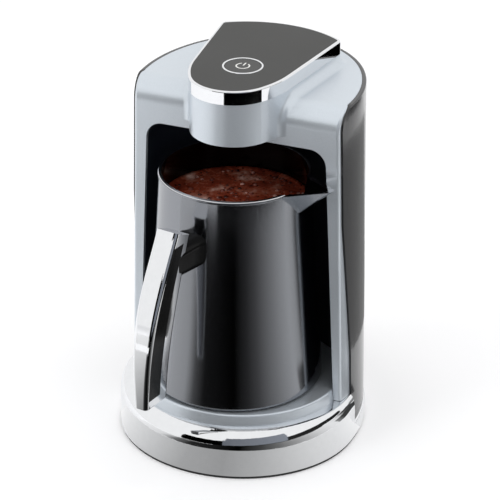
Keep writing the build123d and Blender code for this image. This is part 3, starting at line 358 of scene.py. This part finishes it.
def dress_nodes():
    """Gives every CAD node the finish of its slot in the record."""
    made = {}
    for part in frame["record"]["subparts"]:
        slot = part["material_slot"]
        name = FINISH_OF_SLOT.get(slot, slot)
        if name not in made:
            low, high, rough, more = FINISHES[name]
            made[name] = finish_of(name, low, high, rough, **more)
        node = NODES[part["node"]]
        node.data.materials.clear()
        node.data.materials.append(made[name])
    colour_pot(made["pot_black"])


# ---------------------------------------------------------------- what the pot holds
def new_object(name, mesh, material):
    """An object of the scene with one material."""
    obj = bpy.data.objects.new(name, mesh)
    bpy.context.scene.collection.objects.link(obj)
    mesh.materials.append(material)
    return obj


def axis_y():
    """Where the axis of the pot and its plate is, in front of or behind the origin."""
    low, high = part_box("heating_plate")
    return (low.y + high.y) / 2


def wall_radius(z):
    """Inside radius of the pot at height z, on the side away from the spout and the handle."""
    hit, where, _, _ = NODES["pot_vessel"].ray_cast(Vector((0, axis_y(), z)), Vector((0, 1, 0)))
    if not hit:
        raise SystemExit("the pot's wall isn't where the coffee should be")
    return where.y - axis_y()


def coffee():
    """Coffee in the pot: a closed body with a raised edge at the wall."""
    radius = wall_radius(COFFEE_Z) - COFFEE_GAP
    low_z = COFFEE_Z - COFFEE_DEPTH
    low_radius = wall_radius(low_z) - COFFEE_GAP
    profile = [(0.0, COFFEE_Z)]
    profile += [(radius * share, COFFEE_Z) for share in SURFACE_RINGS]
    profile += [(radius - MENISCUS, COFFEE_Z + MENISCUS * MENISCUS_START),
                (radius, COFFEE_Z + MENISCUS), (low_radius, low_z), (0.0, low_z)]
    form = bmesh.new()
    rows = []
    for r, z in profile:
        if r == 0.0:
            rows.append([form.verts.new((0, axis_y(), z))] * COFFEE_STEPS)
        else:
            turns = [2 * pi * i / COFFEE_STEPS for i in range(COFFEE_STEPS)]
            rows.append([form.verts.new((r * cos(t), axis_y() + r * sin(t), z)) for t in turns])
    for upper, lower in zip(rows, rows[1:]):
        for i in range(COFFEE_STEPS):
            j = (i + 1) % COFFEE_STEPS
            corners = []
            for vert in (upper[i], lower[i], lower[j], upper[j]):
                if vert not in corners:
                    corners.append(vert)
            form.faces.new(corners)
    bmesh.ops.recalc_face_normals(form, faces=form.faces)
    mesh = bpy.data.meshes.new("coffee")
    form.to_mesh(mesh)
    form.free()
    mesh.shade_smooth()
    piece = new_object("coffee", mesh, coffee_material())
    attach(piece, "pot")


def bubble_spots():
    """Bubbles as (distance from the axis, angle, radius): along the edge, then inside."""
    rnd = random.Random(BUBBLE_SEED)
    reach = wall_radius(COFFEE_Z) - COFFEE_GAP - MENISCUS
    spots = []
    for _ in range(BUBBLES_AT_EDGE):
        size = rnd.uniform(*BUBBLE_RADII)
        spots.append((reach - size * rnd.uniform(*EDGE_DISTANCES), rnd.uniform(0, 2 * pi), size))
    for _ in range(BUBBLES_INSIDE):
        size = rnd.uniform(*BUBBLE_RADII)
        spots.append((reach * rnd.uniform(*INSIDE_SHARES), rnd.gauss(GROUP_AT, GROUP_SPREAD),
                      size))
    return spots


def bubbles():
    """Low domes on the coffee; one that would touch an earlier one is left out."""
    kept = []
    form = bmesh.new()
    for radius, angle, size in bubble_spots():
        x, y = radius * cos(angle), axis_y() + radius * sin(angle)
        if any(hypot(x - u, y - v) < size + other for u, v, other in kept):
            continue
        kept.append((x, y, size))
        made = bmesh.ops.create_uvsphere(form, u_segments=BUBBLE_SEGMENTS,
                                         v_segments=BUBBLE_ROWS, radius=size)
        for vert in made["verts"]:
            vert.co = Vector((x + vert.co.x, y + vert.co.y,
                              COFFEE_Z + vert.co.z * BUBBLE_HEIGHT))
    mesh = bpy.data.meshes.new("coffee_bubbles")
    form.to_mesh(mesh)
    form.free()
    mesh.shade_smooth()
    piece = new_object("coffee_bubbles", mesh, bubble_material())
    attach(piece, "pot")


# ---------------------------------------------------------------- stage
def shown_rays(nodes, links):
    """1 for rays that the picture shows straight, in a mirror or through glass, else 0."""
    path = nodes.new("ShaderNodeLightPath").outputs
    seen = calc(nodes, links, "MAXIMUM", path["Is Camera Ray"], path["Is Glossy Ray"])
    return calc(nodes, links, "MAXIMUM", seen, path["Is Transmission Ray"])


def floor():
    """White floor that keeps the object's shadow."""
    half = FLOOR_HALF
    mesh = bpy.data.meshes.new("floor")
    mesh.from_pydata([(-half, -half, FLOOR_Z), (half, -half, FLOOR_Z), (half, half, FLOOR_Z),
                      (-half, half, FLOOR_Z)], [], [(0, 1, 2, 3)])
    material, nodes, links, shader = new_material("floor")
    set_inputs(shader, Base_Color=FLOOR_COLOUR, Roughness=0.9, Specular_IOR_Level=0.0,
               Emission_Color=WHITE)
    links.new(span(nodes, links, shown_rays(nodes, links), 0.0, FLOOR_LIFT),
              shader.inputs["Emission Strength"])
    obj = new_object("floor", mesh, material)


def glow_material(name, stops):
    """A card's glow by its azimuth round the object; stops are (azimuth, colour)."""
    material, nodes, links, shader = new_material(name)
    nodes.remove(shader)
    glow = nodes.new("ShaderNodeEmission")
    links.new(glow.outputs["Emission"], nodes["Material Output"].inputs["Surface"])
    sides = split(nodes, links, place(nodes))
    ahead = calc(nodes, links, "MULTIPLY", sides["Y"], -1.0)
    turn = calc(nodes, links, "ARCTAN2", sides["X"], ahead)
    share = nodes.new("ShaderNodeMapRange")
    links.new(turn, share.inputs["Value"])
    set_inputs(share, From_Min=-pi, From_Max=pi)
    band = [((azimuth + 180) / 360, colour) for azimuth, colour in stops]
    links.new(ramp(nodes, links, share.outputs["Result"], band), glow.inputs["Color"])
    return material


def card(name, lower, upper, stops):
    """Curved card between two rings round the object, seen in reflections only. A ring is
    (half width, half depth, height); the card runs from the first to the last stop."""
    start, end = stops[0][0], stops[-1][0]
    turns = [radians(start + (end - start) * i / CARD_STEPS) for i in range(CARD_STEPS + 1)]
    points = [(wide * sin(turn), -deep * cos(turn), height)
              for wide, deep, height in (lower, upper) for turn in turns]
    row = CARD_STEPS + 1
    mesh = bpy.data.meshes.new(name)
    mesh.from_pydata(points, [], [(i, i + 1, row + i + 1, row + i) for i in range(CARD_STEPS)])
    obj = new_object(name, mesh, glow_material(name, stops))
    obj.visible_camera = False
    obj.visible_diffuse = False
    obj.visible_shadow = False
    obj.visible_transmission = False


def floor_flag(name, near, far, stops):
    """Flat card on the floor; near and far are (half width, half depth)."""
    card(name, (*near, CARD_LIFT), (*far, CARD_LIFT),
         [(azimuth, (level, level, level)) for azimuth, level in stops])


def cards():
    """The studio's flags: they give the pot, the chrome and the lacquer their reflections."""
    low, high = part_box("base_ring")
    floor_flag("flag_ring", (high.x + RING_GAP, RING_GAP - low.y), (RING_FLAG_END, RING_FLAG_END),
               RING_FLAG)
    for name, near, far, stops in FLOOR_FLAGS:
        floor_flag(name, (near, near), (far, far), stops)
    for name, height, stops in UPRIGHT_CARDS:
        card(name, (FAR_CARD, FAR_CARD, 0.0), (FAR_CARD, FAR_CARD, height), stops)


def world():
    """Even white surroundings."""
    scene_world = bpy.data.worlds.new("studio")
    scene_world.use_nodes = True
    nodes = scene_world.node_tree.nodes
    links = scene_world.node_tree.links
    background = nodes["Background"]
    set_inputs(background, Color=WHITE)
    links.new(span(nodes, links, shown_rays(nodes, links), WORLD_LIGHT, 1.0),
              background.inputs["Strength"])
    bpy.context.scene.world = scene_world


def look_along(obj, direction):
    """Turns a lamp or a camera to a direction."""
    obj.rotation_mode = "QUATERNION"
    obj.rotation_quaternion = direction.to_track_quat("-Z", "Y")


def lights():
    """Soft lamps, which no reflection shows."""
    for name, at, size, power in LAMPS:
        data = bpy.data.lights.new(name, "AREA")
        data.shape = "RECTANGLE"
        data.size, data.size_y = size
        data.energy = power
        obj = bpy.data.objects.new(name, data)
        obj.location = at
        look_along(obj, LAMP_TARGET - Vector(at))
        obj.visible_glossy = False
        bpy.context.scene.collection.objects.link(obj)


def camera():
    data = bpy.data.cameras.new("camera")
    data.sensor_width = SENSOR_MM
    data.lens = FOCAL_PX * SENSOR_MM / PICTURE_PX
    obj = bpy.data.objects.new("camera", data)
    obj.location = CAMERA_AT
    look_along(obj, CAMERA_FORWARD)
    bpy.context.scene.collection.objects.link(obj)
    bpy.context.scene.camera = obj


# ---------------------------------------------------------------- scene
bpy.context.scene.view_settings.view_transform = "Standard"
dress_nodes()
coffee()
bubbles()
floor()
cards()
world()
lights()
camera()
